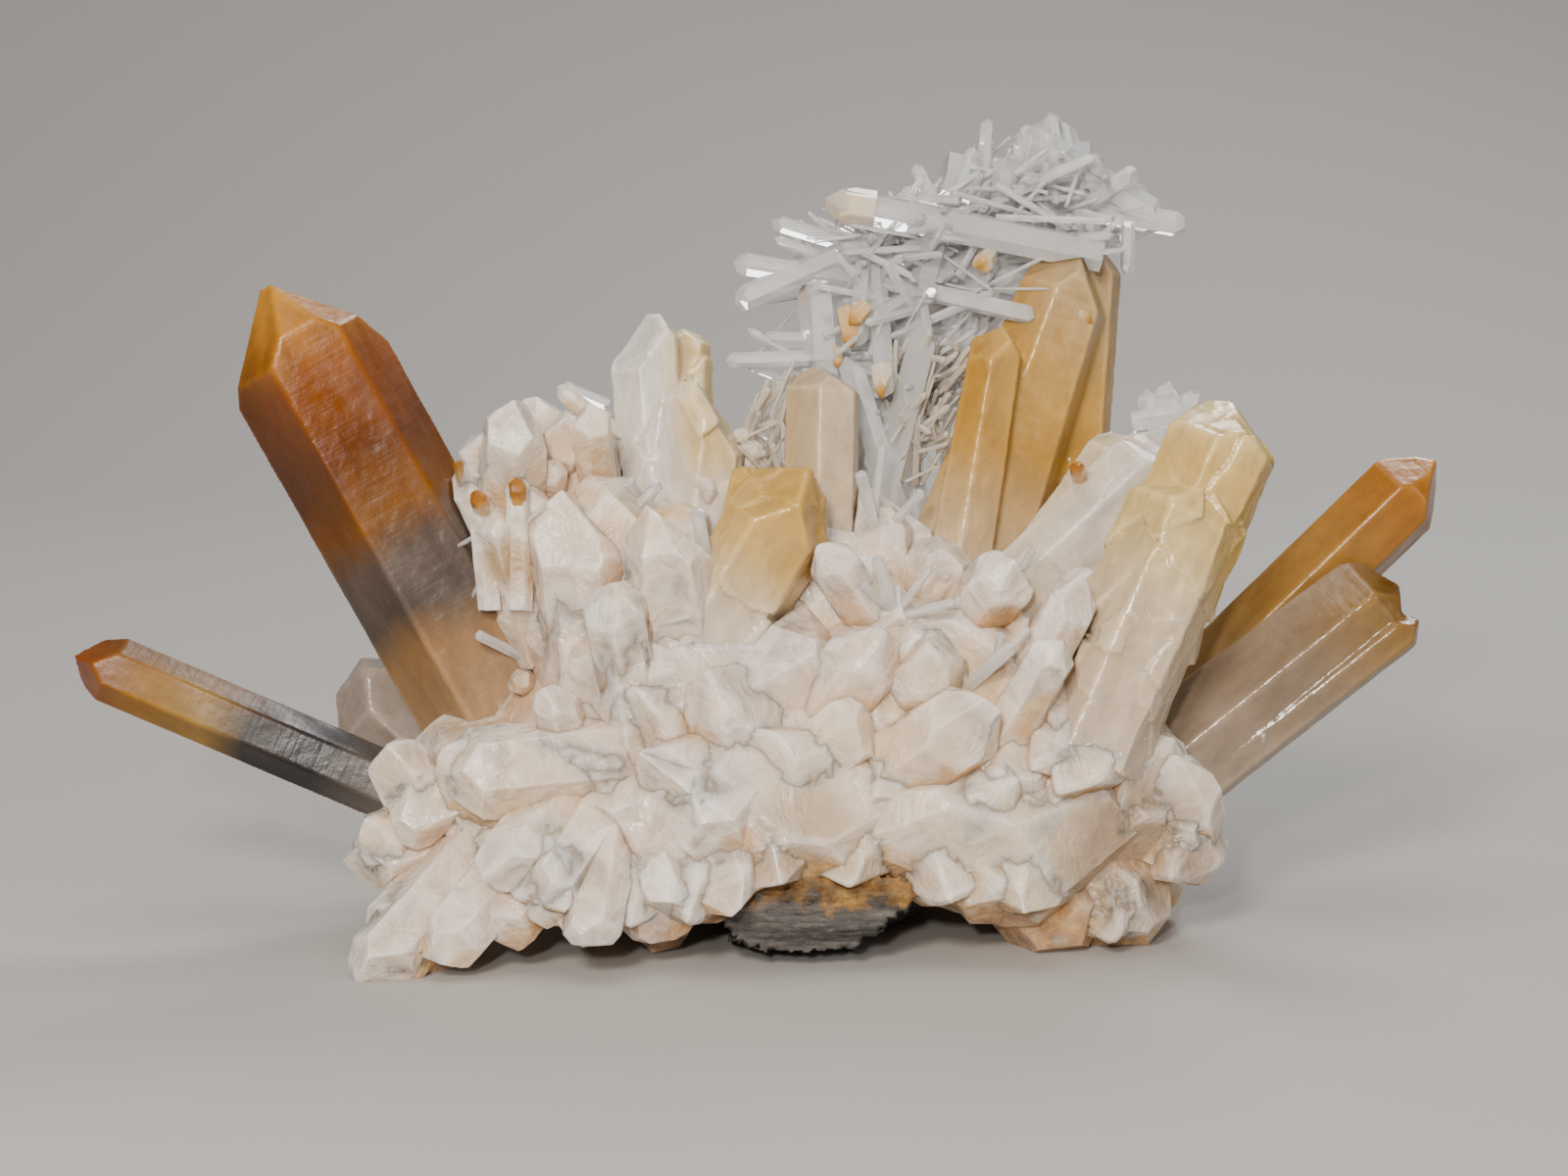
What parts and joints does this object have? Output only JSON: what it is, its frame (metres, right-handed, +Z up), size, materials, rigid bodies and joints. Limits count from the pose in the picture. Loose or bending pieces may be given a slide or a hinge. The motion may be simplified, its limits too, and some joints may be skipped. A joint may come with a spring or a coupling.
{
  "type": "quartz crystal cluster",
  "caption": "Quartz specimen: amber and yellow capped points and a spray of clear needles fan out of a milky druse on a scrap of shale; it rests on its lowest crystals.",
  "frame": {"origin": "middle of the cluster's footprint, on the surface that it rests on", "axes": "+X to the right as seen from the front, along the longest side; +Y to the back; +Z up"},
  "size_m": [0.1512, 0.0762, 0.0893],
  "materials": {
    "milky_quartz": "etched, waxy to glassy",
    "amber_quartz": "satin, finely etched",
    "yellow_quartz": "satin, finely etched",
    "smoky_quartz": "glassy, partly frosted",
    "clear_quartz": "glassy",
    "shale": "dull, flaky"
  },
  "bodies": {
    "root": {"milky_druse": "milky_quartz", "pale_prism": "milky_quartz", "white_tower": "milky_quartz", "amber_point_left": "amber_quartz", "amber_point_low": "amber_quartz", "amber_point_right": "amber_quartz", "yellow_top_prism": "yellow_quartz", "golden_prism": "yellow_quartz", "beige_prism": "yellow_quartz", "squat_yellow_prism": "yellow_quartz", "smoky_crystal_left": "smoky_quartz", "smoky_prism_right": "smoky_quartz", "needle_spray": "clear_quartz", "clear_crystals_right": "clear_quartz", "shale_matrix": "shale"}
  },
  "joints": []
}
